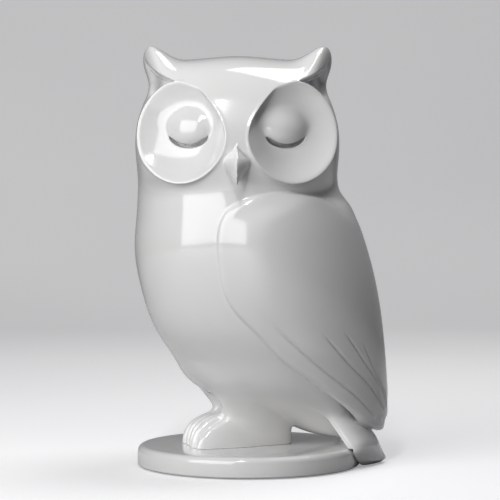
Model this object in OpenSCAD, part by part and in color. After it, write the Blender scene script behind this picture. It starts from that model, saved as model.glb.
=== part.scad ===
// Owl figurine of glazed porcelain, perched on a round plinth with its head turned over its left wing.
// The pieces are cast apart and luted together with slip, so a thin lute lies between curved faces.
// The body faces -Y and the owl's left is +X. Heights on the owl are taken from the plinth's top,
// and heights on the head from the seam at the neck.

/* [Pose] */
// Turn of the head to the owl's left, in degrees
head_turn = 75; // [0:1:90]
// Swing of the tail to the owl's left, in degrees
tail_turn = 12; // [0:1:20]

/* [Fits] */
// Lute of slip between curved faces
lute = 0.3; // [0.2:0.05:0.5]
// Wall of the hollow castings
wall = 4; // [3:0.25:6]
// Height of the locating lip at the neck
lip_h = 3; // [2:0.5:5]

/* [Plinth] */
// Diameter of the plinth
plinth_d = 106; // [100:1:130]
// Height of the plinth
plinth_h = 9.5; // [9:0.5:16]
// Radius of the plinth's upper edge
plinth_edge = 3; // [1:0.5:4]
// Radius of the plinth's lower edge
plinth_foot_edge = 1; // [0.5:0.25:2]
// Diameter of the felt pad
felt_d = 84; // [60:1:90]
// Thickness of the felt pad
felt_t = 2; // [1:0.25:3]
// Height that the felt stands proud of the plinth
felt_proud = 0.5; // [0.25:0.05:0.8]
// Clearance round the felt
felt_fit = 0.3; // [0.2:0.1:1]
// Diameter of the kiln vent under the body
vent_d = 7; // [4:0.5:10]

/* [Body] */
// Height of the neck seam
neck_h = 121; // [116:1:128]
// Radius of the neck
neck_r = 47.4; // [45:0.2:49]
// Distance of the neck's axis in front of the plinth's axis
neck_forward = 5.4; // [3:0.2:7]
// Height of the fullest part of the breast
breast_h = 94; // [88:1:98]
// Half-width of the breast
breast_w = 50; // [48:0.5:53]
// Depth of the breast in front of its centre
breast_front = 54.4; // [52:0.2:57]
// Depth of the back behind the breast's centre
breast_back = 52.6; // [50:0.2:55]
// Height of the belly
belly_h = 54; // [50:1:60]
// Half-width of the belly
belly_w = 45.5; // [43:0.5:48]
// Depth of the belly in front of its centre
belly_front = 52.7; // [50:0.2:55]
// Depth of the back behind the belly's centre
belly_back = 52.3; // [50:0.2:54]
// Distance of the belly's centre behind the plinth's axis
belly_behind = 9; // [7:0.5:11]
// Height of the tuck under the belly
tuck_h = 26; // [24:0.5:28]
// Half-width of the tuck
tuck_w = 34; // [32:0.5:36]
// Distance of the tuck's centre behind the plinth's axis
tuck_behind = 21; // [19:0.5:23]
// Depth of the tuck in front of its centre
tuck_front = 41; // [39:0.5:43]
// Depth of the rump behind the tuck's centre
tuck_back = 37; // [35:0.5:39]
// Height of the rump's lowest point
rump_h = 1; // [0.6:0.1:2]
// Half-width of the rump
rump_w = 17; // [15:0.5:20]
// Half-depth of the rump
rump_l = 14; // [12:0.5:16]
// Distance of the rump's centre behind the plinth's axis
rump_behind = 36.5; // [35:0.5:38]

/* [Wings] */
// Thickness of a wing at its middle
wing_t = 4; // [3:0.25:5]
// Drop of the wing's shoulder below the neck seam
shoulder_drop = 3.5; // [3:0.25:6]
// Height of the wing's tip
wing_tip_h = 6; // [5:0.5:8]
// Distance of the free wing tips behind the plinth's axis
wing_tip_behind = 63; // [61:0.5:65]
// Half-width between the free wing tips
wing_tip_w = 33; // [31:0.5:35]
// Angle of the leading edge from the front, at the breast, in degrees
wing_lead = 58; // [52:1:64]
// Angle of the trailing edge from the front, in degrees
wing_trail = 172; // [165:1:174]

/* [Tail] */
// Half-width of the tail feather
tail_w = 18; // [15:0.5:20]
// Thickness of the tail feather
tail_t = 18; // [15:0.5:20]
// Thickness of the feather under the tail
under_tail_t = 3; // [2:0.25:5]
// Distance of the tail's tip behind the plinth's edge
tail_past = 13; // [10:0.5:15]
// Depth of the tail's tip below the plinth's top
tail_drop = 7; // [5:0.25:8]
// Height of the tail's root
tail_root_h = 24; // [22:0.5:26]
// Distance of the tail's root behind the plinth's axis
tail_root_behind = 39; // [37:0.5:41]

/* [Legs] */
// Half-width of a feathered leg at its ankle
leg_w = 8.8; // [8:0.2:10]
// Half-length of a feathered leg at its ankle
leg_l = 15.5; // [14:0.5:17]
// Distance of a leg's middle behind the plinth's axis
leg_behind = 2; // [1:0.25:4]
// Distance of the inner toe from the midline
toe_x = 3.2; // [2.8:0.1:4]
// Half-width of a toe
toe_w = 4.8; // [4.2:0.1:5.2]
// Height of a toe
toe_h = 15.5; // [13:0.5:17]
// Length of a toe in front of its root
toe_l = 21; // [18:0.5:23]
// Distance of the toes' roots in front of the plinth's axis
toe_root = 9; // [7:0.5:10]
// Splay between neighbouring toes, in degrees
toe_splay = 6; // [4:0.5:9]

/* [Head] */
// Height of the crown above the neck seam
head_h = 63; // [58:0.5:66]
// Half-width of the face at the eyes
face_w = 48; // [46:0.5:50]
// Depth of the face in front of the neck's axis
face_front = 51.5; // [50:0.5:54]
// Depth of the head behind the neck's axis
head_back = 46.5; // [44:0.5:49]
// Half-width of the temples under the tufts
temple_w = 42.6; // [40:0.2:44]
// Porcelain behind the face
face_wall = 24; // [20:0.5:28]
// Height of an ear tuft's tip above the crown
tuft_rise = 4.5; // [3:0.5:8]
// Distance of a tuft's tip from the midline
tuft_x = 41; // [38:0.5:43]
// Thickness of a brow where it grows into its tuft
brow_r = 7.4; // [6.5:0.1:8]

/* [Face] */
// Radius of an eye disc
disc_r = 23.5; // [22:0.25:24.5]
// Thickness of an eye disc
disc_t = 3; // [2.5:0.25:4]
// Depth of the dish in an eye disc
dish_depth = 7; // [5:0.25:8]
// Radius of the disc's rounded rim
rim_r = 1.2; // [0.8:0.1:1.5]
// Distance of a disc's centre from the midline
disc_x = 25.6; // [25:0.2:28]
// Height of a disc's centre, as a share of the head's height
disc_share = 0.44; // [0.42:0.005:0.46]
// Distance of a disc's centre in front of the neck's axis
disc_front = 41; // [39.5:0.5:42.5]
// Angle by which a disc looks outwards, in degrees
disc_out = 24; // [20:1:28]
// Angle by which a disc looks up, in degrees
disc_up = 7; // [0:1:10]
// Half-width of an eyelid
lid_w = 11; // [9:0.1:12]
// Half-height of an eyelid
lid_h = 10.2; // [8:0.1:11]
// Bulge of an eyelid above the dish
lid_bulge = 6.5; // [5:0.25:8]
// Height of the slit under a closed eyelid
slit_h = 2; // [1.2:0.1:2.6]
// Half-width of the beak
beak_w = 6.9; // [5.5:0.1:7.2]
// Length of the beak
beak_l = 20; // [16:0.5:22]
// Height of the beak's top, as a share of the head's height
beak_share = 0.36; // [0.35:0.005:0.38]
// Height of the beak's ridge in front of the face
beak_out = 8.5; // [6:0.5:11]

/* [Hidden] */

glaze = "whitesmoke";
// Facets of round pieces, of small round forms, and of cuts that shape a casting
round_faces = 72;
ball_faces = 16;
cut_faces = 36;
slit_faces = 12;
// Facets round the body and the head, round a small form, and the height of one row of them
body_sides = 36;
small_sides = 18;
row_step = 6;
head_step = 4.5;

deck_z = felt_proud + plinth_h;
felt_seat = felt_t - felt_proud;
lip_fit = lute;
cut_past = 1;
cavity_floor = tuck_h * 1.2;
shoulder_h = neck_h - shoulder_drop;
tail_behind = plinth_d / 2 + tail_past;
disc_h = head_h * disc_share;
beak_top_h = head_h * beak_share;
beak_tip_h = beak_top_h - beak_l;

// Rows of the body: height, half-width, front and back depth, centre behind the axis, squareness in front
body_rows = [
    [rump_h, rump_w * 0.24, rump_l * 0.25, rump_l * 0.25, rump_behind * 1.3, 2],
    [mix(rump_h, tuck_h, 0.12), rump_w * 0.65, rump_l * 0.6, rump_l * 0.6, rump_behind * 1.15, 2],
    [mix(rump_h, tuck_h, 0.28), rump_w, rump_l, rump_l, rump_behind, 2],
    [
        mix(rump_h, tuck_h, 0.6), mix(rump_w, tuck_w, 0.53), mix(rump_l, tuck_front, 0.36),
        mix(rump_l, tuck_back, 0.36), mix(rump_behind, tuck_behind, 0.42), 2
    ],
    [tuck_h, tuck_w, tuck_front, tuck_back, tuck_behind, 2],
    [
        mix(tuck_h, belly_h, 0.5), mix(tuck_w, belly_w, 0.57), mix(tuck_front, belly_front, 0.64),
        mix(tuck_back, belly_back, 0.62), mix(tuck_behind, belly_behind, 0.5), 2
    ],
    [belly_h, belly_w, belly_front, belly_back, belly_behind, 2],
    [breast_h, breast_w, breast_front, breast_back, 0, 2],
    [neck_h, neck_r, neck_r, neck_r, -neck_forward, 2]
];

// Rows that carry the wings: the body's, with tips that hang free of the rump
tip_back = wing_tip_behind - tuck_behind;
wing_rows = [
    [0, wing_tip_w, tip_back, tip_back, tuck_behind, 2],
    [tuck_h, mix(wing_tip_w, belly_w, 0.4), tip_back, tip_back, tuck_behind, 2],
    body_rows[6],
    body_rows[7],
    body_rows[8]
];

// Rows of a wing's outline: height, angle of the leading edge, angle of the trailing edge
function wing_angle(share) = mix(wing_lead, wing_trail, share);
wing_edges = [
    [wing_tip_h, wing_angle(0.88), wing_angle(0.98)],
    [tuck_h * 0.6, wing_angle(0.61), wing_angle(1)],
    [tuck_h, wing_angle(0.41), wing_angle(1)],
    [belly_h * 0.8, wing_angle(0.175), wing_angle(1)],
    [belly_h * 1.2, wing_angle(0.04), wing_angle(1)],
    [mix(belly_h, breast_h, 0.63), wing_angle(0), wing_angle(1)],
    [mix(breast_h, shoulder_h, 0.13), wing_angle(0.01), wing_angle(0.98)],
    [mix(breast_h, shoulder_h, 0.66), wing_angle(0.055), wing_angle(0.94)],
    [mix(breast_h, shoulder_h, 0.92), wing_angle(0.13), wing_angle(0.8)],
    [shoulder_h, wing_angle(0.27), wing_angle(0.55)]
];

// Rows of a leg: height as a share of the tuck's, half-width and half-length as shares of the ankle's
leg_shape = [
    [0, 0.52, 1.1],
    [0.31, 0.75, 0.94],
    [0.54, 1, 1],
    [0.88, 1.36, 1.45],
    [1.19, 1.53, 1.87],
    [1.46, 1.53, 2.06]
];

// Rows of the head, in the same order as the body's
head_rows = [
    [0, neck_r, neck_r, neck_r, 0, 2],
    [head_h * 0.1, mix(neck_r, face_w, 0.2), mix(neck_r, face_front, 0.3), head_back, 0, 2.6],
    [head_h * 0.25, face_w, face_front * 0.99, head_back, 0, 3.7],
    [head_h * 0.36, face_w, face_front, head_back, 0, 4],
    [head_h * 0.5, mix(temple_w, face_w, 0.86), face_front * 0.98, head_back * 0.98, 0, 4],
    [head_h * 0.66, mix(temple_w, face_w, 0.35), face_front * 0.88, head_back * 0.91, 0, 3.6],
    [head_h * 0.81, temple_w, face_front * 0.75, head_back * 0.75, 0, 3.1],
    [head_h * 0.9, temple_w, face_front * 0.62, head_back * 0.62, 0, 2.8],
    [head_h * 0.96, temple_w * 0.9, face_front * 0.46, head_back * 0.48, 0, 2.2],
    [head_h, temple_w * 0.4, face_front * 0.2, head_back * 0.22, 0, 2]
];

function mix(a, b, t) = a + (b - a) * t;

// Values at x on a smooth curve through rows, each of which starts with its own x
function span_of(rows, x, i = 0) =
    (i >= len(rows) - 2 || x < rows[i + 1][0]) ? i : span_of(rows, x, i + 1);
function slope_at(rows, i) =
    let (a = max(i - 1, 0), b = min(i + 1, len(rows) - 1))
    (rows[b] - rows[a]) / (rows[b][0] - rows[a][0]);
function smooth_row(rows, x) =
    let (
        i = span_of(rows, x),
        step = rows[i + 1][0] - rows[i][0],
        t = (x - rows[i][0]) / step
    )
    rows[i] * (1 + 2 * t) * (1 - t) ^ 2 + slope_at(rows, i) * step * t * (1 - t) ^ 2
    + rows[i + 1] * t ^ 2 * (3 - 2 * t) + slope_at(rows, i + 1) * step * t ^ 2 * (t - 1);

// Point of a section at an angle from the front, grown by a distance
function section_point(row, angle, grow = 0) =
    let (
        ahead = cos(angle) > 0,
        w = row[1] + grow,
        d = (ahead ? row[2] : row[3]) + grow,
        n = ahead ? row[5] : 2,
        r = (abs(sin(angle) / w) ^ n + abs(cos(angle) / d) ^ n) ^ (-1 / n)
    )
    [r * sin(angle), row[4] - r * cos(angle), row[0]];
function section_ring(row, grow = 0, sides = body_sides) =
    [for (i = [0:sides - 1]) section_point(row, 360 * (i + 0.5) / sides, grow)];
function at_height(ring, h) = [for (p = ring) [p[0], p[1], h]];

function body_ring(h, grow = 0) = section_ring(smooth_row(body_rows, h), grow);
function head_ring(h, grow = 0) = section_ring(smooth_row(head_rows, h), grow);

// Heights from one level to another in even steps
function levels(from, to, step = row_step) =
    let (count = ceil(abs(to - from) / step)) [for (i = [0:count]) mix(from, to, i / count)];

// Skin over rings of points, closed at the first and the last ring
module loft(rings) {
    n = len(rings[0]);
    last = (len(rings) - 1) * n;
    sides = [
        for (j = [0:len(rings) - 2], i = [0:n - 1])
            let (a = j * n + i, b = j * n + (i + 1) % n)
            each [[a, a + n, b + n], [a, b + n, b]]
    ];
    caps = [
        for (i = [0:n / 2 - 2])
            let (a = i, b = i + 1, c = n - 2 - i, d = n - 1 - i)
            each [
                [a, b, c], [a, c, d],
                [last + a, last + c, last + b], [last + a, last + d, last + c]
            ]
    ];
    polyhedron([for (r = rings) each r], concat(sides, caps), convexity = 8);
}

// A carved casting, kept as one closed skin
module casting() {
    color(glaze) resize([0, 0, 0]) children();
}

module on_deck() {
    translate([0, 0, deck_z]) children();
}

module on_neck() {
    on_deck() translate([0, -neck_forward, neck_h]) rotate([0, 0, head_turn]) children();
}

module on_disc() {
    translate([disc_x, -disc_front, disc_h]) rotate([0, 0, disc_out]) rotate([-disc_up, 0, 0])
        rotate([90, 0, 0]) children();
}

module mirrored() {
    mirror([1, 0, 0]) children();
}

// Felt and plinth
module felt_pad() {
    color("dimgray") cylinder(h = felt_t, d = felt_d, $fn = round_faces);
}

module plinth_profile() {
    r = plinth_d / 2;
    square([r - plinth_edge, plinth_h]);
    square([r - plinth_foot_edge, plinth_h - plinth_edge]);
    translate([0, plinth_foot_edge]) square([r, plinth_h - plinth_edge - plinth_foot_edge]);
    translate([r - plinth_edge, plinth_h - plinth_edge]) circle(plinth_edge, $fn = round_faces);
    translate([r - plinth_foot_edge, plinth_foot_edge]) circle(plinth_foot_edge, $fn = round_faces);
}

module plinth() {
    color(glaze) translate([0, 0, felt_proud]) difference() {
        rotate_extrude($fn = round_faces) plinth_profile();
        translate([0, 0, -cut_past])
            cylinder(h = felt_seat + cut_past, d = felt_d + 2 * felt_fit, $fn = round_faces);
    }
}

// Space that the plinth takes, with the lute round it, up to a height above its top
module plinth_room(top = 0) {
    translate([0, 0, -plinth_h - cut_past])
        cylinder(h = plinth_h + cut_past + top, d = plinth_d + 2 * lute, $fn = round_faces);
}

// Torso
module body_room() {
    loft(concat(
        [at_height(body_ring(rump_h, lute), rump_h - lute)],
        [for (h = levels(rump_h, neck_h)) body_ring(h, lute)]
    ));
}

module torso() {
    casting() on_deck() difference() {
        loft(concat(
            [for (h = levels(rump_h, neck_h)) body_ring(h)],
            [
                body_ring(neck_h, -wall / 2),
                at_height(body_ring(neck_h, -wall / 2), neck_h + lip_h),
                at_height(body_ring(neck_h, -wall), neck_h + lip_h)
            ],
            [for (h = levels(neck_h, cavity_floor, 2 * row_step)) body_ring(h, -wall)]
        ));
        translate([0, tuck_behind, 0])
            cylinder(h = cavity_floor + cut_past, d = vent_d, $fn = ball_faces);
    }
}

// Legs and feet
leg_inset = lute / 2;

module leg_column() {
    rows = [
        for (r = leg_shape)
            [tuck_h * r[0], leg_w * r[1], leg_l * r[2], leg_l * r[2], leg_behind, 2]
    ];
    loft([
        for (h = levels(0, rows[len(rows) - 1][0]))
            let (row = smooth_row(rows, h))
            [for (p = section_ring(row, 0, 2 * small_sides)) p + [row[1] + leg_inset, 0, 0]]
    ]);
}

// A toe is drawn over a low ellipsoid and a fuller one near its tip
tip_share = 0.7;
toe_spacing = toe_w * 0.75;

module toe_ball(share) {
    translate([0, -toe_l * (1 - share), 0])
        scale([toe_w, toe_l * share, toe_h * sqrt(share)]) sphere(1, $fn = ball_faces);
}

module toe() {
    hull() {
        toe_ball(1);
        toe_ball(tip_share);
    }
}

module left_foot() {
    for (i = [0:2])
        translate([toe_x + i * toe_spacing, -toe_root, 0]) rotate([0, 0, i * toe_splay]) toe();
}

module left_leg_blank() {
    difference() {
        union() {
            leg_column();
            left_foot();
        }
        translate([leg_inset - plinth_d, -plinth_d / 2, -cut_past]) cube([plinth_d, plinth_d, plinth_d]);
        translate([-plinth_d / 2, -plinth_d / 2, -plinth_d]) cube(plinth_d);
    }
}

module left_leg() {
    casting() on_deck() difference() {
        left_leg_blank();
        body_room();
    }
}

module right_leg() {
    casting() on_deck() difference() {
        mirrored() left_leg_blank();
        body_room();
    }
}

// Wings
wing_columns = 11;
wing_root = 2;
wing_edge_sink = wing_root * 0.7;
wing_flat = 5;
wing_round = 2.5;
shoulder_fade_h = 14;

// Thickness of a wing over the body, from its leading edge at 0 to its trailing edge at 1.
// It fades into the body over the shoulder.
function shoulder_fade(h) = sqrt(max(1 - max((h - shoulder_h) / shoulder_fade_h + 1, 0) ^ 2, 0));
function wing_rise(s, h, grow) =
    let (full = (1 - abs(2 * s - 1) ^ wing_flat) ^ (1 / wing_round))
    (wing_t + wing_root) * full * shoulder_fade(h) - wing_edge_sink + grow;

function wing_ring(h, grow) =
    let (
        row = smooth_row(wing_rows, h),
        edge = smooth_row(wing_edges, h),
        margin = grow * 1.5
    )
    concat(
        [
            for (i = [0:wing_columns])
                let (s = (1 - cos(180 * i / wing_columns)) / 2)
                section_point(row, mix(edge[1] - margin, edge[2] + margin, s), wing_rise(s, h, grow))
        ],
        [
            for (i = [wing_columns:-1:0])
                let (s = (1 - cos(180 * i / wing_columns)) / 2)
                section_point(row, mix(edge[1] - margin, edge[2] + margin, s), -wing_root - grow)
        ]
    );

module left_wing_blank(grow = 0) {
    loft([for (h = levels(wing_tip_h - grow, shoulder_h + grow)) wing_ring(h, grow)]);
}

module left_wing() {
    casting() on_deck() difference() {
        left_wing_blank();
        body_room();
    }
}

module right_wing() {
    casting() on_deck() difference() {
        mirrored() left_wing_blank();
        body_room();
    }
}

// Tail
tail_rows = 9;
tail_sides = 20;
tail_row_power = 1.8;
tail_tip = 0.02;

// Share of a feather's size that is left at t, when it tapers from a place on with a given fullness
function tail_taper(t, from, full) = sqrt(max(1 - max((t - from) / (1 - from), 0) ^ full, tail_tip));

// Feather along the tail's line, between two depths below that line
module tail_feather(top, bottom, reach) {
    run = tail_behind - tail_root_behind;
    fall = tail_root_h + tail_drop;
    slope = atan2(fall, run);
    length = norm([run, fall]) * reach;
    half_t = (top - bottom) / 2;
    translate([0, tail_root_behind, tail_root_h]) rotate([-slope, 0, 0])
        translate([0, 0, (top + bottom) / 2]) loft([
            for (i = [0:tail_rows])
                let (
                    t = 1 - (1 - i / tail_rows) ^ tail_row_power,
                    w = tail_w * tail_taper(t, 0.375, 2.5),
                    d = half_t * tail_taper(t, 0.33, 3)
                )
                [
                    for (k = [0:tail_sides - 1])
                        let (a = 360 * (k + 0.5) / tail_sides)
                        [w * sin(a), length * t, d * cos(a)]
                ]
        ]);
}

module swung_tail() {
    translate([0, tuck_behind, 0]) rotate([0, 0, -tail_turn]) translate([0, -tuck_behind, 0]) children();
}

module tail_room() {
    body_room();
    plinth_room();
    left_wing_blank(lute);
    mirrored() left_wing_blank(lute);
}

module tail() {
    casting() on_deck() difference() {
        swung_tail() tail_feather(tail_t / 2, -tail_t / 2, 1);
        tail_room();
    }
}

// The feather under the tail shows only behind the plinth
module under_tail() {
    casting() on_deck() difference() {
        swung_tail() tail_feather(0, -tail_t / 2 - under_tail_t, 0.97);
        swung_tail() tail_feather(tail_t / 2 + lute, -tail_t / 2 - lute, 1 + lute / tail_drop);
        tail_room();
        plinth_room(tail_root_h);
    }
}

// Head
module head_room() {
    loft([for (h = levels(0, head_h, head_step)) head_ring(h, lute)]);
}

function cavity_ring(h) =
    let (row = smooth_row(head_rows, h))
    section_ring([h, row[1] - wall, row[2] - face_wall, row[3] - wall, 0, 2]);

module head_shell() {
    seam = head_rows[0];
    socket_h = lip_h + lip_fit;
    loft(concat(
        [for (h = levels(head_h * 0.75, socket_h + wall, 2 * row_step)) cavity_ring(h)],
        [
            at_height(section_ring(seam, -wall), socket_h),
            at_height(section_ring(seam, lip_fit - wall / 2), socket_h),
            section_ring(seam, lip_fit - wall / 2)
        ],
        [for (h = levels(0, head_h, head_step)) head_ring(h)]
    ));
}

// Outline of a disc's section: dished in front, bowed behind, with a rounded rim
bowl_r = (disc_r ^ 2 + dish_depth ^ 2) / (2 * dish_depth);

module disc_profile(grow = 0) {
    intersection() {
        translate([0, bowl_r - dish_depth]) difference() {
            circle(bowl_r + disc_t + grow, $fn = 2 * round_faces);
            circle(bowl_r - grow, $fn = 2 * round_faces);
        }
        translate([0, -disc_r]) square([disc_r + grow, disc_r]);
    }
    translate([disc_r - rim_r, 0]) circle(rim_r + grow, $fn = small_sides);
}

module disc_solid(grow = 0) {
    rotate_extrude($fn = cut_faces) disc_profile(grow);
}

// Seat of a disc in the head, open to the front
seat_open = disc_r;
seat_flare = disc_r * 0.6;

module disc_seat() {
    rotate_extrude($fn = cut_faces) {
        intersection() {
            translate([0, bowl_r - dish_depth]) circle(bowl_r + disc_t + lute, $fn = 2 * round_faces);
            translate([0, -disc_r]) square([disc_r + lute, disc_r]);
        }
        polygon([[0, 0], [disc_r + lute, 0], [disc_r + seat_flare, seat_open], [0, seat_open]]);
    }
}

module head() {
    casting() on_neck() difference() {
        head_shell();
        on_disc() disc_seat();
        mirrored() on_disc() disc_seat();
    }
}

// Ear tufts
module left_tuft_casting() {
    rows = [
        [0, tuft_x * 0.54, face_front * 0.52, head_h * 0.825, brow_r * 0.8],
        [0.3, tuft_x * 0.71, face_front * 0.43, head_h * 0.88, brow_r],
        [0.6, tuft_x * 0.855, face_front * 0.34, head_h * 0.937, brow_r],
        [0.85, tuft_x * 0.96, face_front * 0.3, head_h, brow_r * 0.72],
        [1, tuft_x * 1.02, face_front * 0.29, head_h + tuft_rise, brow_r * 0.15]
    ];
    difference() {
        loft([
            for (t = levels(0, 1, 0.09))
                let (
                    row = smooth_row(rows, t),
                    ahead = smooth_row(rows, t + 0.01) - smooth_row(rows, t - 0.01),
                    along = [ahead[1], -ahead[2], ahead[3]] / norm([ahead[1], ahead[2], ahead[3]]),
                    side = cross(along, [0, 1, 0]) / norm(cross(along, [0, 1, 0])),
                    up = cross(side, along)
                )
                [
                    for (k = [0:small_sides - 1])
                        let (a = -360 * (k + 0.5) / small_sides)
                        [row[1], -row[2], row[3]] + row[4] * (side * cos(a) + up * sin(a))
                ]
        ]);
        head_room();
        on_disc() disc_seat();
    }
}

module left_ear_tuft() {
    casting() on_neck() left_tuft_casting();
}

module right_ear_tuft() {
    casting() on_neck() mirrored() left_tuft_casting();
}

// Eye discs and eyelids
module left_eye_disc() {
    color(glaze) on_neck() on_disc() disc_solid();
}

module right_eye_disc() {
    color(glaze) on_neck() mirrored() on_disc() disc_solid();
}

lid_in = lid_w * 0.24;
lid_up = lid_h * 0.3;

module left_lid_casting() {
    difference() {
        translate([-lid_in, lid_up, -dish_depth]) difference() {
            scale([lid_w, lid_h, lid_bulge]) sphere(1, $fn = ball_faces);
            intersection() {
                scale([lid_w, lid_h, 1]) translate([0, 0, slit_h]) rotate_extrude($fn = ball_faces)
                    translate([1, 0]) scale([slit_h / lid_w, slit_h]) circle(1, $fn = slit_faces);
                translate([-lid_w * 2, -lid_h * 2.3, -lid_bulge])
                    cube([lid_w * 4, lid_h * 2, lid_bulge * 2]);
            }
        }
        disc_solid(lute);
        translate([0, 0, -disc_r - dish_depth]) cylinder(h = disc_r, r = disc_r);
    }
}

module left_eyelid() {
    casting() on_neck() on_disc() left_lid_casting();
}

module right_eyelid() {
    casting() on_neck() mirrored() on_disc() left_lid_casting();
}

// Beak
module beak() {
    root = face_front * 0.9;
    // Rows from the tip up: height, half-width, ridge in front, back, squareness
    rows = [
        [beak_tip_h, beak_w * 0.07, face_front + beak_out * 0.85, face_front + beak_out * 0.7],
        [mix(beak_tip_h, beak_top_h, 0.25), beak_w * 0.6, face_front + beak_out, face_front],
        [mix(beak_tip_h, beak_top_h, 0.55), beak_w, face_front + beak_out * 0.95, root],
        [mix(beak_tip_h, beak_top_h, 0.85), beak_w * 0.5, face_front + beak_out * 0.5, root],
        [beak_top_h, beak_w * 0.12, face_front + lute, root]
    ];
    casting() on_neck() difference() {
        loft([
            for (h = levels(beak_tip_h, beak_top_h, row_step * 0.4))
                let (
                    row = smooth_row(rows, h),
                    middle = (row[2] + row[3]) / 2,
                    half = (row[2] - row[3]) / 2
                )
                section_ring([h, row[1], half, half, -middle, 1.2], 0, small_sides)
        ]);
        head_room();
        on_disc() disc_solid(lute);
        mirrored() on_disc() disc_solid(lute);
    }
}

felt_pad();
plinth();
torso();
left_leg();
right_leg();
left_wing();
right_wing();
tail();
under_tail();
head();
left_ear_tuft();
right_ear_tuft();
left_eye_disc();
right_eye_disc();
left_eyelid();
right_eyelid();
beak();
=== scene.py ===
"""Looks of the porcelain owl on its plinth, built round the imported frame.

The owl is one smooth field in millimetres: negative inside the glaze, positive outside. The body faces
-Y, the owl's left is +X, and the head is turned to the left. A mesh is drawn over the field, and each of
its cells belongs to one piece, so that neighbouring pieces meet in the same points and the glaze runs on
without a seam.
"""

import itertools
import math

import bpy
import numpy as np
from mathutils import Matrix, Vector


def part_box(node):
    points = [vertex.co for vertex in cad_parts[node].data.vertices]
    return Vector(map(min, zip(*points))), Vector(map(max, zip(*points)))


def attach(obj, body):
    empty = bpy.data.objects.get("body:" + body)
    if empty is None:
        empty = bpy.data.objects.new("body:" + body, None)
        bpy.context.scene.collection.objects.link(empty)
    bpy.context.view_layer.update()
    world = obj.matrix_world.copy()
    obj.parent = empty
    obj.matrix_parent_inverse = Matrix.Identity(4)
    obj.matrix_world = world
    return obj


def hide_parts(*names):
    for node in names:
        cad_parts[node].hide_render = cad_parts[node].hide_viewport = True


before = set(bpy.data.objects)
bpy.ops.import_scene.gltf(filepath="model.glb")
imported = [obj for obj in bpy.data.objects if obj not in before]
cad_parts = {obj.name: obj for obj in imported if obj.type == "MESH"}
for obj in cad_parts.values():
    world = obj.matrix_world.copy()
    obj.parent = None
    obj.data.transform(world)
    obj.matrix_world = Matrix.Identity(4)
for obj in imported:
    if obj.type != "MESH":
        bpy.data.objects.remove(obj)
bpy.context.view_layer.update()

MM = 0.001
# Spacing of the lattice that the mesh is drawn on, cells along a block of it, and its corners
STEP = 0.5
BLOCK = 8
LATTICE_LOW, LATTICE_HIGH = np.array([-56.0, -64.0, 0.0]), np.array([64.0, 72.0, 204.0])

PLINTH_LOW, PLINTH_HIGH = (np.array(corner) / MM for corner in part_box("plinth"))
FELT_LOW, FELT_HIGH = (np.array(corner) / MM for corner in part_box("felt_pad"))
DECK = PLINTH_HIGH[2]
PLINTH_R = PLINTH_HIGH[0]
LUTE = 0.3

NECK_Z = 131.0
NECK_Y = -5.4
# Heights between which the body turns into the head
NECK_BLEND = (123, 139)
HEAD_TURN = math.radians(75)
# Heights that the legs and tail stay under, that the wings stay under, and that the face stays over,
# fillets included
LOW_FORMS_TOP, WING_FORMS_TOP, FACE_FORMS_FOOT = 64, 150, 126
# How far a piece reaches out of its own form into the fillet round it
SEAM = 0.1


class Curve:
    """Smooth curve through rows, each of which starts with its own place."""

    def __init__(self, rows):
        rows = np.array(rows, float)
        self.at, self.value = rows[:, 0], rows[:, 1:]
        gap = np.diff(self.at)
        count = len(rows)
        system, right = np.eye(count), np.zeros_like(self.value)
        rise = np.diff(self.value, axis=0) / gap[:, None]
        for i in range(1, count - 1):
            system[i, i - 1 : i + 2] = gap[i - 1], 2 * (gap[i - 1] + gap[i]), gap[i]
            right[i] = 6 * (rise[i] - rise[i - 1])
        self.gap, self.bend = gap, np.linalg.solve(system, right)

    def __call__(self, place):
        place = np.clip(place, self.at[0], self.at[-1])
        i = np.clip(np.searchsorted(self.at, place) - 1, 0, len(self.gap) - 1)
        gap = self.gap[i]
        a, b = (self.at[i + 1] - place) / gap, (place - self.at[i]) / gap
        stiffness = gap * gap / 6
        values = (
            a * self.value[i].T + b * self.value[i + 1].T
            + ((a**3 - a) * self.bend[i].T + (b**3 - b) * self.bend[i + 1].T) * stiffness
        )
        return values if len(values) > 1 else values[0]

    def slope(self, place, reach=0.5):
        """Rise of the curve per unit of place."""
        return (self(place + reach) - self(place - reach)) / (2 * reach)


# Rows of the breast, which carries the wings: height, half-width, depth in front, depth behind, and
# centre behind the plinth's axis
BREAST_ROWS = [
    (64, 45.5, 52.7, 52.3, 9),
    (84, 49, 54.5, 54.6, 3.4),
    (104, 50, 54.4, 52.6, 0),
    (118, 49.5, 51.3, 49.7, -2.2),
    (NECK_Z, 47.4, 47.4, 47.4, NECK_Y),
]
# The same rows with those of the rump below and of the neck above
BODY = Curve([
    (11, 4, 3, 4, 48),
    (14, 11, 8, 8, 40),
    (18, 17, 14, 12, 35.5),
    (26, 26, 26, 19.5, 30),
    (36, 34, 42.2, 37, 21),
    (50, 40.5, 49.8, 46.5, 15),
    *BREAST_ROWS,
    (142, 47.2, 47.2, 47.2, NECK_Y),
])
# The same rows with those of the wings' tips, which hang free of the rump
WING_CARRIER = Curve([(10, 33, 36, 44.9, 21), (36, 38, 38, 44, 20), *BREAST_ROWS])
# Height and the leading edge's angle from the body's front
WING_LEAD = Curve([
    (14, 178), (17.5, 152), (25, 129), (34, 109), (45, 88.5), (53, 78), (63, 71), (72, 64),
    (80, 59.5), (93, 58), (103, 58.5), (115, 61), (122, 66), (128, 74), (134, 84),
])
# Angle from the body's front and height of the wing's upper edge
WING_TOP = Curve([
    (50, 126), (75, 128.5), (95, 130.5), (106, 130.3), (127, 128), (145, 128), (165, 129.5), (174, 129.5),
])
# Angle of the trailing edge
WING_TRAIL = 172
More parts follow.
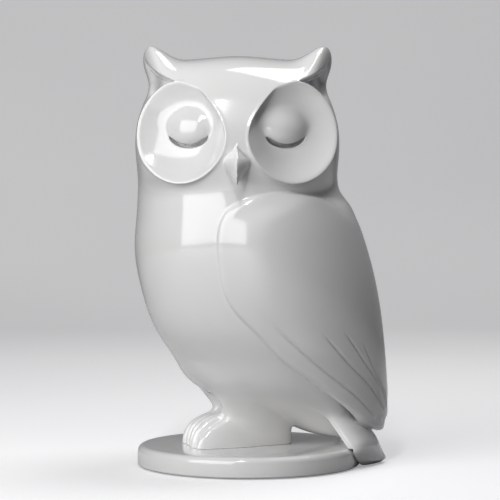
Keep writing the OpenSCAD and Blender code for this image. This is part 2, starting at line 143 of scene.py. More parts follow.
# The wing's thickness, the share of it that the leading edge has, and the width of that taper
WING_T, LEAD_SHARE, LEAD_TAPER = 4.0, 0.4, 26
# Rows of the head: height, half-width, depth in front, depth behind, squareness in front
HEAD = Curve([
    (124, 47.3, 47.3, 47.3, 2),
    (131, 47.3, 47.5, 47.2, 2.1),
    (137, 47.3, 48.4, 46.8, 2.6),
    (146.6, 47.8, 51, 46.5, 3.7),
    (153.5, 48, 51.5, 46.5, 4),
    (162, 47.2, 50.5, 45.5, 4),
    (172, 44.4, 48, 43, 3.4),
    (181.6, 42.3, 45.5, 37, 2.9),
    (188, 44, 42, 33, 2.7),
    (200, 45.6, 36, 26, 2.4),
])
# Rows of a leg: height, centre beside the midline and behind the axis, half-width, half-length
LEG = Curve([
    (10, 4.8, 2, 4.6, 17),
    (18, 6.8, 3.6, 6.6, 15.6),
    (24, 9, 4, 8.8, 16.5),
    (33, 12.5, 2, 12, 20.5),
    (41, 14.5, 2, 13.5, 26),
    (48, 15, 3, 13.5, 29),
])


def ease(low, high, value):
    """Smooth rise from 0 at low to 1 at high."""
    t = np.clip((value - low) / (high - low), 0, 1)
    return t * t * t * (t * (6 * t - 15) + 10)


def join(a, b, reach):
    """Union of two fields, with a fillet of that reach."""
    h = np.maximum(reach - np.abs(a - b), 0) / reach
    return np.minimum(a, b) - h**3 * reach / 6


def cut(a, b, reach):
    """What two fields have in common, with an edge rounded over that reach."""
    return -join(-a, -b, reach)


def section(x, y, half_width, front, back, square=None):
    """Distance outside a section that has its own depth and squareness in front."""
    r = np.hypot(x, y) + 1e-6
    s, c = x / r, -y / r
    ahead = 0.5 + c * (3 - c * c) / 4
    depth = back + (front - back) * ahead
    if square is None:
        return r - 1 / np.sqrt((s / half_width) ** 2 + (c / depth) ** 2)
    n = 2 + (square - 2) * ahead
    return r - (np.abs(s / half_width) ** n + np.abs(c / depth) ** n) ** (-1 / n)


# Height of the crown, its swell in the middle and that swell's width, and its fall in front and behind
CROWN_Z, CROWN_SWELL, CROWN_SWELL_W = 192.2, 2.1, 19
CROWN_FALL, CROWN_FALL_Y, CROWN_FALL_POWER = 15, 42, 3.2
# Rise of the ear tufts over the crown, where it starts and ends beside the midline, and its middle and
# length along the head
TUFT_RISE, TUFT_FROM, TUFT_TO, TUFT_Y, TUFT_LENGTH = 8.2, 22, 46, -17, 12
# Rounding of the crown's edge, and of the tufts' edge from some way beside the midline
CROWN_ROUND, TUFT_ROUND, TUFT_ROUND_FROM = 16, 6, 40
# Where a tuft ends as a piece: depth under the plain crown, beside the midline, height and behind the axis
TUFT_DEPTH, TUFT_INNER, TUFT_FOOT, TUFT_BACK = 0.4, 24, 183, 8


def head_frame(x, y):
    """A point's place beside and behind the turned head's axis."""
    c, s = math.cos(HEAD_TURN), math.sin(HEAD_TURN)
    y = y - NECK_Y
    return x * c + y * s, y * c - x * s


def skull(x, y, z, tuft=TUFT_RISE):
    """The head with ear tufts of that rise, in its own frame."""
    side = np.abs(x)
    rise = tuft * ease(TUFT_FROM, TUFT_TO, side) * np.exp(-(((y - TUFT_Y) / TUFT_LENGTH) ** 2))
    crown = CROWN_Z + CROWN_SWELL * np.exp(-((x / CROWN_SWELL_W) ** 2))
    crown = crown - CROWN_FALL * (np.abs(y) / CROWN_FALL_Y) ** CROWN_FALL_POWER + rise
    edge = CROWN_ROUND - (CROWN_ROUND - TUFT_ROUND) * ease(TUFT_FROM, TUFT_ROUND_FROM, side)
    return cut(section(x, y, *HEAD(z)), (z - crown) * 0.9, edge)


def base(x, y, z):
    """Body and head as one form."""
    width, front, back, behind = BODY(z)
    body = section(x, y - behind, width, front, back)
    blend = ease(*NECK_BLEND, z)
    if not blend.any():
        return body
    return body + (skull(*head_frame(x, y), z) - body) * blend


# Lines between the long feathers, from the tip up: height and angle from the body's front
FEATHER_LINES = [
    Curve([(24, 145), (33.5, 127), (46, 105), (58, 91), (73, 78)]),
    Curve([(26.5, 156.5), (38.5, 137), (52, 118), (60, 111), (68.5, 104)]),
    Curve([(27, 163), (36, 149.5), (52, 131), (60.5, 124.5), (68.5, 118)]),
    Curve([(28, 166), (32, 158), (45, 142), (54, 136), (63, 131.5)]),
]
# Depth and half-width of a line, and the wing's radius where the lines run
LINE_DEPTH, LINE_W, LINE_R = 0.8, 0.8, 60


def feather_lines(angle, z):
    """Depth of the lines between the wing's feathers."""
    depth = 0
    for line in FEATHER_LINES:
        low, high = line.at[0], line.at[-1]
        across = np.radians(angle - line(z)) * LINE_R / np.hypot(1, np.radians(line.slope(z)) * LINE_R)
        fade = ease(low - 3, low + 4, z) * ease(high, high - 14, z)
        depth = depth + LINE_DEPTH * fade * np.exp(-((across / LINE_W) ** 2))
    return depth


def round_back(angle):
    """Share of the softer edge that the wings have where they run round the back."""
    return ease(115, 155, angle)


def wing(x, y, z):
    """A wing on the owl's left."""
    width, front, back, behind = WING_CARRIER(z)
    y = y - behind
    shell = section(x, y, width, front, back)
    angle = np.degrees(np.arctan2(x, -y))
    r = np.hypot(x, y)
    inside = np.radians(angle - WING_LEAD(z)) * r
    inside /= np.hypot(1, np.radians(WING_LEAD.slope(z)) * r)
    outline = cut(-inside, z - WING_TOP(angle), 12)
    outline = cut(outline, np.radians(angle - WING_TRAIL) * r, 6)
    share = LEAD_SHARE + (1 - LEAD_SHARE) * ease(0, LEAD_TAPER, inside)
    thickness = WING_T * share - feather_lines(angle, z)
    blade = cut(shell - thickness, outline, 5 + 18 * ease(104, 124, z) * round_back(angle))
    return cut(blade, -shell - 3, 1)


def superellipse(a, b, power):
    """Size of the superellipse that passes through a point."""
    return (np.abs(a) ** power + np.abs(b) ** power) ** (1 / power)


# Toes from the inner to the outer one: place beside the midline, splay in degrees, length, height and
# fullness of the tip
TOES = ((3.2, 0, 21, 15.5, 2.5), (6.9, 6, 21.5, 15.5, 2.3), (10.4, 12, 20.5, 13.5, 1.8))
TOE_W, TOE_ROOT_Y = 4.8, -9
TOE_FILLET, LEG_FILLET = 0.8, 5


def leg(x, y, z):
    """A feathered leg with its foot on the owl's left."""
    beside, behind, half_width, half_length = LEG(z)
    across, along = (x - beside) / half_width, (y - behind) / half_length
    field = np.maximum((np.hypot(across, along) - 1) * half_width, z - LEG.at[-1])
    toes = None
    for root, splay, length, height, fullness in TOES:
        c, s = math.cos(math.radians(splay)), math.sin(math.radians(splay))
        dx, dy = x - root, y - TOE_ROOT_Y
        along, across = -dy * c + dx * s, dx * c + dy * s
        side = superellipse(along / length, np.maximum(z - DECK, 0) / height, fullness)
        toe = (np.hypot(side, across / TOE_W) - 1) * TOE_W
        toes = toe if toes is None else join(toes, toe, TOE_FILLET)
    return join(field, toes, LEG_FILLET)


# Swing to the owl's left, slope, and the place of the tail's middle behind a pivot and over the ground
TAIL_SWING, TAIL_SLOPE = math.radians(14), math.radians(55)
TAIL_PIVOT, TAIL_Y, TAIL_Z = 21, 21.9, 19.5
# Height of the dome, its loss towards the tip, and how far the lower face lies under the dome's middle
TAIL_H, TAIL_THINNED, TAIL_UNDER = 12, 1.8, 0.5
# Height of the tail's lowest point, the drop of the feather under it, and that feather's lowest point
TAIL_CLEAR, UNDER_DROP, UNDER_CLEAR = 1.2, 1.6, 0.3
# Place along the tail from its root to its tip, and half-width there
TAIL = Curve([
    (-24, 21), (-12, 23.5), (0, 25.3), (8, 27), (13, 27), (18.8, 21.5), (24.7, 12.5), (28.5, 5), (30, 1),
])


def tail(x, y, z, drop=0, clear=TAIL_CLEAR):
    """The tail feather, or the one under it: flat below, round above."""
    c, s = math.cos(TAIL_SWING), math.sin(TAIL_SWING)
    y = y - TAIL_PIVOT
    x, y = x * c - y * s, y * c + x * s - TAIL_Y
    along = y * math.cos(TAIL_SLOPE) - (z - TAIL_Z) * math.sin(TAIL_SLOPE)
    up = y * math.sin(TAIL_SLOPE) + (z - TAIL_Z) * math.cos(TAIL_SLOPE) + drop
    half_width = TAIL(along)
    high = TAIL_H - TAIL_THINNED * ease(14, 28, along)
    dome = (np.hypot(x / half_width, np.maximum(up, 0) / high) - 1) * np.minimum(half_width, high)
    field = cut(cut(dome, -TAIL_UNDER - up, 1.5), clear - z, 4)
    return np.maximum(field, np.maximum(TAIL.at[0] - along, along - TAIL.at[-1]))


# Middle of the disc's rim on the owl's left, its turn outwards and upwards, half-width and half-height
DISC_AT = (25.6, -42, 158.3)
DISC_OUT, DISC_UP = math.radians(24), math.radians(7)
DISC_W, DISC_H = 22.6, 24.1
# How far a disc's cup and its dish reach past its outline, and the flare of the cup
CUP_OUT, DISH_OUT, CUP_FLARE = 0.6, 0.4, 0.35
# How far a disc reaches as a piece, past its outline and under its dish, and a lid past its own size
DISC_MARGIN, DISC_T, LID_MARGIN = 1.4, 3, 1.02
# Direction, distance and rounding of the edge where the forehead flattens a disc
DISC_FLAT, DISC_FLAT_AT, DISC_FLAT_ROUND = math.radians(138), 19.6, 16
# Lowest point of the dish across and up the disc, its depth, and the power of its rise to the rim
DISH_AT = (-5, 0.5)
DISH_DEPTH, DISH_POWER = 7, 2.2
# Middle of the lid across and up the disc, its half-sizes, how far it is sunk, and its lean
LID_AT = (-1.2, 3.6)
LID_W, LID_H, LID_BULGE, LID_SUNK, LID_LEAN = 11.6, 9.7, 7, 1.5, 0.12
# Half-width of the gap under a lid
SLIT_R = 0.9


def disc_frame(x, y, z):
    """A point's place across, up and out of the disc on the owl's left."""
    x, y, z = x - DISC_AT[0], y - DISC_AT[1], z - DISC_AT[2]
    c, s = math.cos(DISC_OUT), math.sin(DISC_OUT)
    x, y = x * c + y * s, y * c - x * s
    c, s = math.cos(DISC_UP), math.sin(DISC_UP)
    return x, z * c + y * s, z * s - y * c


def disc_edge(a, b):
    """Distance outside a disc's outline."""
    round_edge = (np.hypot(a / DISC_W, b / DISC_H) - 1) * DISC_W
    flat_edge = a * math.cos(DISC_FLAT) + b * math.sin(DISC_FLAT) - DISC_FLAT_AT
    return cut(round_edge, flat_edge, DISC_FLAT_ROUND)


def dish(a, b):
    """Height of the dish's floor over the disc's rim plane."""
    va, vb = DISH_AT[0] / DISC_W, DISH_AT[1] / DISC_H
    qa, qb = (a - DISH_AT[0]) / DISC_W, (b - DISH_AT[1]) / DISC_H
    room = 1 - va * va - vb * vb
    dot = va * qa + vb * qb
    reach = (dot + np.sqrt(dot * dot + (qa * qa + qb * qb) * room)) / room
    return DISH_DEPTH * (reach**DISH_POWER - 1)


def lid(a, b, h):
    """A closed eyelid in the disc's frame."""
    floor = -DISH_DEPTH - LID_SUNK
    a, b = a - LID_AT[0], b - LID_AT[1]
    q = np.sqrt((a / LID_W) ** 2 + (b / LID_H) ** 2 + ((h - floor + LID_LEAN * b) / LID_BULGE) ** 2)
    return (q - 1) * LID_BULGE


def slit(a, b, over):
    """The gap under a closed lid, which runs along the lid's lower edge."""
    a, b = (a - LID_AT[0]) / LID_W, (b - LID_AT[1]) / LID_H
    ring = np.hypot(a, b) + 1e-6
    size = SLIT_R * (1.25 * ease(0.35, 0.85, -b / ring) - 0.25)
    return np.hypot((ring - 1) * LID_H, (over + 0.3) * 0.2) - size


# Rows of the beak from its tip up: height, half-width, and its ridge and back in front of the head's axis
BEAK = Curve([
    (132.5, 0.2, 58.4, 57.9), (135.5, 2.2, 59.4, 54), (140, 5.0, 59.7, 49), (144.7, 6.9, 58.7, 46),
    (147.8, 4.4, 55.6, 46), (150.3, 1.6, 52.8, 46), (152.2, 0.2, 50.3, 46),
])
# Where the beak's sides leave the head, in front of its axis
BEAK_FOOT = 48


def beak(x, y, z):
    """The beak in the head's frame, with a ridge along its front."""
    half_width, ridge, back = BEAK(z)
    depth = np.maximum(ridge - BEAK_FOOT, 1)
    ahead = np.maximum(-y - BEAK_FOOT, 0)
    roof = (superellipse(x / half_width, ahead / depth, 1.25) - 1) * np.minimum(half_width, depth) * 0.7
    field = cut(roof, back + y, 1)
    return np.maximum(field, np.maximum(BEAK.at[0] - z, z - BEAK.at[-1]))


def plinth_room(x, y, z):
    """The plinth, with the lute round it."""
    return np.maximum(z - DECK, np.hypot(x, y) - PLINTH_R - LUTE)


# The brow's lower edge, as place beside the midline and height, and the depth of the hollow under it
BROW_EDGE = Curve([(18, 180), (24.4, 180.7), (30.8, 182.7), (37.3, 186), (41.7, 190.8), (45, 197)])
TEMPLE_DEPTH = 4.5


def temple(x, y, z):
    """Depth of the hollow under the brow, which fades out on all sides."""
    below = BROW_EDGE(x) - z
    depth = TEMPLE_DEPTH * ease(-0.6, 2.4, below) * ease(166, 177, z)
    return depth * ease(22, 34, x) * ease(45, 37, x) * ease(6, -22, y)


def face(x, y, z, field):
    """The head's field with its discs, lids and beak, the beak, and where each paired piece lies."""
    side = np.abs(x)
    field = field + temple(side, y, z)
    a, b, h = disc_frame(side, y, z)
    rim = disc_edge(a, b)
    cup = cut(rim - CUP_OUT - CUP_FLARE * h, h, 2)
    field = join(field, cup, 3)
    floor = dish(a, b)
    bowl = cut((floor - h) * 0.8, rim - DISH_OUT, 1)
    field = cut(field, -bowl, 2.2)
    eyelid = lid(a, b, h)
    field = join(field, eyelid, 1.8 + 3 * ease(-7, 4, b - LID_AT[1]))
    field = cut(field, -slit(a, b, h - floor), 0.5)
    bill = beak(x, y, z)
    field = join(field, bill, 0.8)
    on_tuft = (skull(x, y, z, 0) > -TUFT_DEPTH) & (side > TUFT_INNER) & (z > TUFT_FOOT) & (y < TUFT_BACK)
    on_disc = (rim < DISC_MARGIN) & (h - floor > -DISC_T) & (y < 0)
    on_lid = np.hypot((a - LID_AT[0]) / LID_W, (b - LID_AT[1]) / LID_H) < LID_MARGIN
    return field, bill, {"ear_tuft": on_tuft, "eye_disc": on_disc, "eyelid": on_disc & on_lid}


# The pieces by their numbers, of which 0 is the air outside
PIECES = (
    "outside", "torso", "under_tail", "tail", "left_leg", "right_leg", "left_wing", "right_wing", "head",
    "left_ear_tuft", "right_ear_tuft", "left_eye_disc", "right_eye_disc", "left_eyelid", "right_eyelid",
    "beak",
)
PIECE = {name: i for i, name in enumerate(PIECES)}


def owl(x, y, z, with_owner=False):
    """The owl's field, and on demand the piece that each point belongs to."""
    side = np.abs(x)
    core = base(x, y, z)
    field = core
    owner = np.full(x.shape, PIECE["torso"], np.int8) if with_owner else None

    def claim(where, name):
        if with_owner:
            owner[where] = PIECE[name]

    def claim_pair(where, across, name):
        claim(where & (across > 0), "left_" + name)
        claim(where & (across <= 0), "right_" + name)

    if z.min() < LOW_FORMS_TOP:
        feather, under = tail(x, y, z), tail(x, y, z, UNDER_DROP, UNDER_CLEAR)
        foot = leg(side, y, z)
        field = join(field, foot, LEG_FILLET)
        field = join(field, join(under, feather, 0.6), 2 + 8 * ease(14, 34, z))
        bare = core > 0
        claim((under < SEAM) & bare, "under_tail")
        claim((feather < SEAM) & bare, "tail")
        claim_pair((foot < SEAM) & bare, x, "leg")
    if z.min() < WING_FORMS_TOP:
        blade = wing(side, y, z)
        soft = ease(110, 126, z) * round_back(np.degrees(np.arctan2(side, -y)))
        field = join(field, blade, 1.2 + 12 * soft)
        claim_pair((blade < SEAM) & (z < NECK_Z - 2), x, "wing")
    if z.max() > FACE_FORMS_FOOT:
        xh, yh = head_frame(x, y)
        field, bill, pairs = face(xh, yh, z, field)
        claim(z > NECK_Z, "head")
        for name, where in pairs.items():
            claim_pair(where, xh, name)
        claim(bill < SEAM, "beak")
    field = np.maximum(field, -plinth_room(x, y, z))
    if not with_owner:
        return field
    owner[field > 0] = 0
    return field, owner


def in_chunks(work, points, size=60000):
    """Results of work over points, a chunk at a time."""
    return np.concatenate([work(*points[i : i + size].T) for i in range(0, len(points), size)])


def active_blocks(low, counts):
    """Blocks of the lattice that a surface may pass through, sorted by height."""
    reach = BLOCK * STEP
    axes = [low[i] + np.arange(2 * counts[i] + 1) * reach / 2 for i in range(3)]
    shape = [len(axis) for axis in axes]
    near = np.zeros(shape, bool)
    owner = np.zeros(shape, np.int8)
    gx, gy = np.meshgrid(axes[0], axes[1], indexing="ij")
    for k, height in enumerate(axes[2]):
        field, owned = owl(gx.ravel(), gy.ravel(), np.full(gx.size, height), True)
        near[:, :, k] = np.abs(field.reshape(gx.shape)) < 0.75 * reach
        owner[:, :, k] = owned.reshape(gx.shape)
    mixed = np.zeros(counts, bool)
    first = owner[:-2:2, :-2:2, :-2:2]
    for starts in itertools.product(range(3), repeat=3):
        part = tuple(slice(s, s + 2 * n - 1, 2) for s, n in zip(starts, counts))
        mixed |= near[part] | (owner[part] != first)
    blocks = np.argwhere(mixed)
    return blocks[np.argsort(blocks[:, 2], kind="stable")]


def lattice(low, high, batch=80):
    """Cells that more than one piece shares, and the quads between the pieces."""
    counts = np.ceil((high - low) / (BLOCK * STEP)).astype(int)
    blocks = active_blocks(low, counts)
    span = counts * BLOCK + 2
    corner = np.stack(np.meshgrid(*[np.arange(BLOCK + 1)] * 3, indexing="ij"), -1).reshape(-1, 3)

    def key(cells):
        return (cells[..., 0] * span[1] + cells[..., 1]) * span[2] + cells[..., 2]

    cell_keys, cell_places, cell_outer, quad_cells, quad_owners = [], [], [], [], []
    for start in range(0, len(blocks), batch):
        group = blocks[start : start + batch]
        places = (group[:, None] * BLOCK + corner[None]).reshape(-1, 3)
        _, owner = owl(*(low + places * STEP).T, True)
        owner = owner.reshape((len(group),) + (BLOCK + 1,) * 3)
        owners = np.stack([
            owner[(slice(None),) + tuple(slice(o, BLOCK + o) for o in offset)]
            for offset in itertools.product((0, 1), repeat=3)
        ])
        mixed = (owners != owners[0]).any(0)
        outer = (owners == 0).any(0)
        at = np.argwhere(mixed)
        cells = group[at[:, 0]] * BLOCK + at[:, 1:]
        cell_keys.append(key(cells))
        cell_places.append(low + (cells + 0.5) * STEP)
        cell_outer.append(outer[mixed])
        for axis in range(3):
            ahead = [slice(None), slice(0, BLOCK), slice(0, BLOCK), slice(0, BLOCK)]
            here = owner[tuple(ahead)]
            ahead[axis + 1] = slice(1, BLOCK + 1)
            there = owner[tuple(ahead)]
            at = np.argwhere(here != there)
            cells = group[at[:, 0]] * BLOCK + at[:, 1:]
            u, v = np.eye(3, dtype=int)[(axis + 1) % 3], np.eye(3, dtype=int)[(axis + 2) % 3]
            ring = np.stack([cells - u - v, cells - v, cells, cells - u], 1)
            quad_cells.append(key(ring))
            quad_owners.append(np.stack([here[tuple(at.T)], there[tuple(at.T)]], 1))
    keys = np.concatenate(cell_keys)
    order = np.argsort(keys)
    keys = keys[order]
    places, outer = (np.concatenate(parts)[order] for parts in (cell_places, cell_outer))
    quads, owners = np.concatenate(quad_cells), np.concatenate(quad_owners)
    found = np.searchsorted(keys, quads)
    whole = (found < len(keys)).all(1)
    whole[whole] = (keys[found[whole]] == quads[whole]).all(1)
    return places, outer, found[whole], owners[whole]


def gradient(points, reach):
    """Slope of the owl's field, measured over that reach to each side."""
    slopes = []
    for axis in np.eye(3) * reach:
        slopes.append((in_chunks(owl, points + axis) - in_chunks(owl, points - axis)) / (2 * reach))
    return np.stack(slopes, 1)


def move_for(points, change):
    """Move that takes points uphill until the field has changed by that much."""
    slope = gradient(points, 0.05)
    return change[:, None] * slope / np.maximum((slope**2).sum(1), 0.05)[:, None]


def drawn_to_glaze(points, turns=4):
    """Points moved onto the surface of the glaze."""
    for _ in range(turns):
        move = move_for(points, in_chunks(owl, points))
        size = np.linalg.norm(move, axis=1)
        points = points - move * np.minimum(1, STEP / np.maximum(size, 1e-9))[:, None]
    return points


def evened(places, outer, quads, turns=3):
    """Places relaxed among their neighbours, with glaze kept to glaze."""
    edges = np.concatenate([quads[:, [i, (i + 1) % 4]] for i in range(4)])
    edges = np.concatenate([edges, edges[:, ::-1]])
    edges = edges[(outer[edges[:, 0]] == outer[edges[:, 1]]) | outer[edges[:, 1]]]
    weight = np.bincount(edges[:, 0], minlength=len(places))
    for _ in range(turns):
        mean = np.stack(
            [np.bincount(edges[:, 0], places[edges[:, 1], i], len(places)) for i in range(3)], 1
        ) / np.maximum(weight, 1)[:, None]
        places = np.where(weight[:, None] > 0, mean, places)
    return places


def sunk(points, depth):
    """Points of the walls between pieces, kept under the glaze."""
    short = np.clip(in_chunks(owl, points) + depth, 0, depth)
    return points - move_for(points, short)


def mesh_piece(name, points, faces, normals=None):
    """A smooth object from points in millimetres."""
    mesh = bpy.data.meshes.new(name)
    mesh.from_pydata(points * MM, [], faces)
    mesh.validate()
    mesh.shade_smooth()
    if normals is not None:
        mesh.normals_split_custom_set_from_vertices(normals)
    piece = bpy.data.objects.new(name, mesh)
    bpy.context.scene.collection.objects.link(piece)
    return piece


def dress(piece, node, material):
    """Hand a piece over to the frame in place of a CAD node."""
    piece.data.materials.append(material)
    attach(piece, "root")
    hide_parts(node)


def owl_pieces(material):
    """The owl's pieces, each with its glaze outside and walls against its neighbours."""
    places, outer, quads, owners = lattice(LATTICE_LOW, LATTICE_HIGH)
    between_glaze = (owners == 0).any(1)
    kept = between_glaze | ~outer[quads].all(1)
    quads, owners, between_glaze = quads[kept], owners[kept], between_glaze[kept]
    places = evened(places, outer, quads[between_glaze])
    places[outer] = drawn_to_glaze(places[outer])
    places[~outer] = sunk(places[~outer], STEP)
    normals = np.zeros_like(places)
    slope = gradient(places[outer], 0.04)
    normals[outer] = slope / np.maximum(np.linalg.norm(slope, axis=1), 1e-9)[:, None]
    walls = places - normals * STEP / 2
    quads[~between_glaze] += len(places)
    places = np.concatenate([places, walls])
    normals = np.concatenate([normals, np.zeros_like(walls)])
    for name in PIECES[1:]:
        number = PIECE[name]
        faces = np.concatenate([quads[owners[:, 0] == number], quads[owners[:, 1] == number][:, ::-1]])
        if not len(faces):
            raise SystemExit(name + " has no faces")
        used, index = np.unique(faces, return_inverse=True)
        piece = mesh_piece(name + "_glaze", places[used], index.reshape(-1, 4), normals[used])
        dress(piece, name, material)


def lathe(name, profile, sides=160):
    """A closed form turned round the plinth's axis."""
    profile = np.array(profile, float)
    turn = np.linspace(0, 2 * math.pi, sides, endpoint=False)
    r, z = profile.T
    points = np.concatenate([np.stack([r * math.cos(t), r * math.sin(t), z], 1) for t in turn])
    n = len(profile)
    faces = []
    for j in range(sides):
        a, b = j * n, (j + 1) % sides * n
        faces += [(a + i, b + i, b + i + 1, a + i + 1) for i in range(n - 1)]
    faces.append([j * n for j in range(sides)][::-1])
    faces.append([j * n + n - 1 for j in range(sides)])
    return mesh_piece(name, points, faces)


def rounded(x, z, radius, start, end, count=10):
    """Points of an arc, by its centre and its angles in degrees."""
    turn = np.radians(np.linspace(start, end, count))
    return [(x + radius * math.cos(t), z + radius * math.sin(t)) for t in turn]


# Roundings of the plinth's lower and upper edge and of the felt's lower edge
PLINTH_FOOT_ROUND, PLINTH_ROUND, FELT_ROUND = 1, 3, 0.4
# Radii of the rings on the plinth's deck, and of the one face in the middle of a lathed form
DECK_RINGS, CORE_R = (40, 20), 6


def plinth_piece(material):
    """The plinth, with its top edge well rounded."""
    low, high, r = PLINTH_LOW[2], PLINTH_HIGH[2], PLINTH_R
    foot, edge = PLINTH_FOOT_ROUND, PLINTH_ROUND
    profile = [(CORE_R, low)] + rounded(r - foot, low + foot, foot, -90, 0, 6)
    profile += rounded(r - edge, high - edge, edge, 0, 90)
    profile += [(ring, high) for ring in (*DECK_RINGS, CORE_R)]
    dress(lathe("plinth_glaze", profile), "plinth", material)


def felt_piece(material):
    """The felt under the plinth."""
    low, high, r = FELT_LOW[2], FELT_HIGH[2], FELT_HIGH[0]
    edge = rounded(r - FELT_ROUND, low + FELT_ROUND, FELT_ROUND, -90, 0, 4)
    profile = [(CORE_R, low)] + edge + [(r, high), (CORE_R, high)]
    dress(lathe("felt_pad_felt", profile), "felt_pad", material)


def new_material(name):
    """A material with its nodes, its links and its shader."""
    material = bpy.data.materials.new(name)
    material.use_nodes = True
    nodes, links = material.node_tree.nodes, material.node_tree.links
    return material, nodes, links, nodes["Principled BSDF"]


def noise(nodes, links, scale, detail=3):
    """Noise in the object's own coordinates."""
    coordinates = nodes.new("ShaderNodeTexCoord")
    texture = nodes.new("ShaderNodeTexNoise")
    texture.inputs["Scale"].default_value = scale
    texture.inputs["Detail"].default_value = detail
    links.new(coordinates.outputs["Object"], texture.inputs["Vector"])
    return texture


def ramp(nodes, links, source, low, high):
    """Colours from low to high along a noise."""
    colours = nodes.new("ShaderNodeValToRGB")
    colours.color_ramp.elements[0].position = 0.3
    colours.color_ramp.elements[1].position = 0.7
    colours.color_ramp.elements[0].color = (*low, 1)
    colours.color_ramp.elements[1].color = (*high, 1)
    links.new(source.outputs["Fac"], colours.inputs["Fac"])
    return colours


def porcelain():
    """White glaze, a touch uneven in tint, gloss and level."""
    material, nodes, links, shader = new_material("porcelain")
    tint = ramp(nodes, links, noise(nodes, links, 18), (0.74, 0.735, 0.725), (0.79, 0.79, 0.785))
    links.new(tint.outputs["Color"], shader.inputs["Base Color"])
    gloss = nodes.new("ShaderNodeMapRange")
    links.new(noise(nodes, links, 60).outputs["Fac"], gloss.inputs["Value"])
    gloss.inputs["To Min"].default_value = 0.10
    gloss.inputs["To Max"].default_value = 0.16
    links.new(gloss.outputs["Result"], shader.inputs["Roughness"])
    shader.inputs["IOR"].default_value = 1.5
    shader.inputs["Coat Weight"].default_value = 0.6
    shader.inputs["Coat Roughness"].default_value = 0.03
    level = nodes.new("ShaderNodeBump")
    level.inputs["Strength"].default_value = 0.04
    level.inputs["Distance"].default_value = 0.0004
    links.new(noise(nodes, links, 70, 2).outputs["Fac"], level.inputs["Height"])
    links.new(level.outputs["Normal"], shader.inputs["Normal"])
    return material


def felt():
    """Dark wool felt with short fibres."""
    material, nodes, links, shader = new_material("felt")
    tint = ramp(nodes, links, noise(nodes, links, 900, 6), (0.05, 0.052, 0.055), (0.12, 0.122, 0.125))
    links.new(tint.outputs["Color"], shader.inputs["Base Color"])
    shader.inputs["Roughness"].default_value = 0.95
    shader.inputs["Sheen Weight"].default_value = 0.4
    return material


def maximum(nodes, links, first, second):
    """The larger of two values."""
    larger = nodes.new("ShaderNodeMath")
    larger.operation = "MAXIMUM"
    links.new(first, larger.inputs[0])
    links.new(second, larger.inputs[1])
    return larger.outputs["Value"]


def stage_material():
    """Paper that is pale to look at and in reflections, and throws little light back at the owl."""
    material, nodes, links, shader = new_material("studio_paper")
    pale = ramp(nodes, links, noise(nodes, links, 2), (0.74, 0.74, 0.75), (0.78, 0.78, 0.785))
    dim = nodes.new("ShaderNodeMix")
    dim.data_type = "RGBA"
    dim.inputs["A"].default_value = (0.16, 0.16, 0.165, 1)
    path = nodes.new("ShaderNodeLightPath")
    mirrored = maximum(nodes, links, path.outputs["Is Glossy Ray"], path.outputs["Is Transmission Ray"])
    seen = maximum(nodes, links, path.outputs["Is Camera Ray"], mirrored)
    links.new(seen, dim.inputs["Factor"])
    links.new(pale.outputs["Color"], dim.inputs["B"])
    links.new(dim.outputs["Result"], shader.inputs["Base Color"])
    shader.inputs["Roughness"].default_value = 0.9
    lift = nodes.new("ShaderNodeMath")
    lift.operation = "MULTIPLY"
    lift.inputs[1].default_value = 0.4
    links.new(path.outputs["Is Camera Ray"], lift.inputs[0])
    links.new(pale.outputs["Color"], shader.inputs["Emission Color"])
    links.new(lift.outputs["Value"], shader.inputs["Emission Strength"])
    return material


# Angle of the camera from the owl's front, and the directions towards the camera, to its right and up
VIEW = math.radians(75)
TOWARDS = Vector((math.sin(VIEW), -math.cos(VIEW), 0))
RIGHT = Vector((math.cos(VIEW), math.sin(VIEW), 0))
UP = Vector((0, 0, 1))
# The paper's near edge, its bend behind the owl, the bend's radius, and the paper's top and half-width,
# in metres
PAPER_FRONT, PAPER_BEND, PAPER_BEND_R, PAPER_TOP, PAPER_HALF = 3.0, -0.9, 0.6, 2.4, 2.5
# Lamps: name, place right of, towards and over the owl, width and height in metres, and power in watts
LAMPS = (
    ("key_box", (-0.62, 0.75, 0.42), (0.92, 0.8), 8.6),
    ("front_box", (-0.12, 0.75, 0.92), (0.08, 0.34), 3.0),
    ("top_box", (0.26, -0.2, 0.95), (0.46, 0.5), 4.0),
)
LAMP_AIM = (0, 0, 0.11)
# The camera's target, its distance in metres, its rise over the target and its angle of view
CAMERA_AIM, CAMERA_DISTANCE = (0.0007, 0, 0.1026), 1.0
CAMERA_RISE, CAMERA_ANGLE = math.radians(2), math.radians(13.6)


def spot(right, towards, height):
    """A point given by the camera's directions, in metres."""
    return RIGHT * right + TOWARDS * towards + UP * height


def facing(source, target):
    """Rotation that turns a lamp or camera towards a target."""
    return (target - source).to_track_quat("-Z", "Y").to_euler()


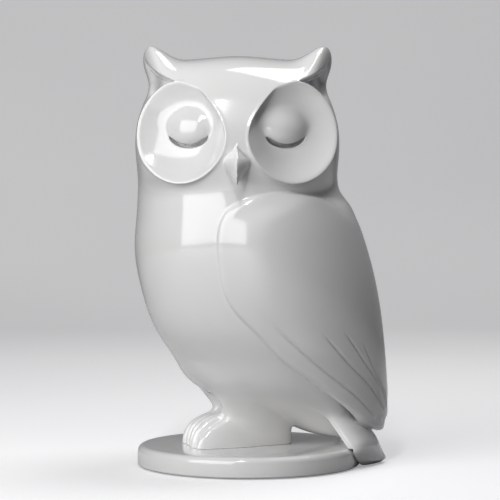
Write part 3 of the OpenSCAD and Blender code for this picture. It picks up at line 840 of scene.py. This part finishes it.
def paper_sweep():
    """Floor and backdrop as one sheet, which bends up behind the owl."""
    bend = [
        (PAPER_BEND - PAPER_BEND_R * math.sin(t), PAPER_BEND_R - PAPER_BEND_R * math.cos(t))
        for t in np.linspace(0.1, 1.57, 14)
    ]
    rows = [(PAPER_FRONT, 0.0), (PAPER_BEND, 0.0)] + bend + [(PAPER_BEND - PAPER_BEND_R, PAPER_TOP)]
    points, faces = [], []
    for towards, height in rows:
        points += [spot(-PAPER_HALF, towards, height), spot(PAPER_HALF, towards, height)]
    for i in range(len(rows) - 1):
        faces.append((2 * i, 2 * i + 1, 2 * i + 3, 2 * i + 2))
    mesh = bpy.data.meshes.new("paper_sweep")
    mesh.from_pydata(points, [], faces)
    mesh.shade_smooth()
    paper = bpy.data.objects.new("paper_sweep", mesh)
    bpy.context.scene.collection.objects.link(paper)
    mesh.materials.append(stage_material())


def lamps():
    """Soft boxes, and a faint cool light from all round."""
    for name, at, size, power in LAMPS:
        lamp = bpy.data.lights.new(name, "AREA")
        lamp.shape = "RECTANGLE"
        lamp.size, lamp.size_y = size
        lamp.energy = power
        holder = bpy.data.objects.new(name, lamp)
        holder.location = spot(*at)
        holder.rotation_euler = facing(spot(*at), spot(*LAMP_AIM))
        bpy.context.scene.collection.objects.link(holder)
    world = bpy.data.worlds.new("studio_air")
    world.use_nodes = True
    air = world.node_tree.nodes["Background"]
    air.inputs["Color"].default_value = (0.9, 0.93, 1.0, 1)
    air.inputs["Strength"].default_value = 0.05
    bpy.context.scene.world = world


def camera():
    """The photo's camera."""
    target = spot(*CAMERA_AIM)
    lens = bpy.data.cameras.new("camera")
    lens.sensor_width = 36
    lens.angle = CAMERA_ANGLE
    holder = bpy.data.objects.new("camera", lens)
    towards = TOWARDS * CAMERA_DISTANCE * math.cos(CAMERA_RISE)
    holder.location = target + towards + UP * CAMERA_DISTANCE * math.sin(CAMERA_RISE)
    holder.rotation_euler = facing(holder.location, target)
    bpy.context.scene.collection.objects.link(holder)
    bpy.context.scene.camera = holder


glaze = porcelain()
owl_pieces(glaze)
plinth_piece(glaze)
felt_piece(felt())
paper_sweep()
lamps()
camera()
bpy.context.scene.view_settings.view_transform = "Standard"
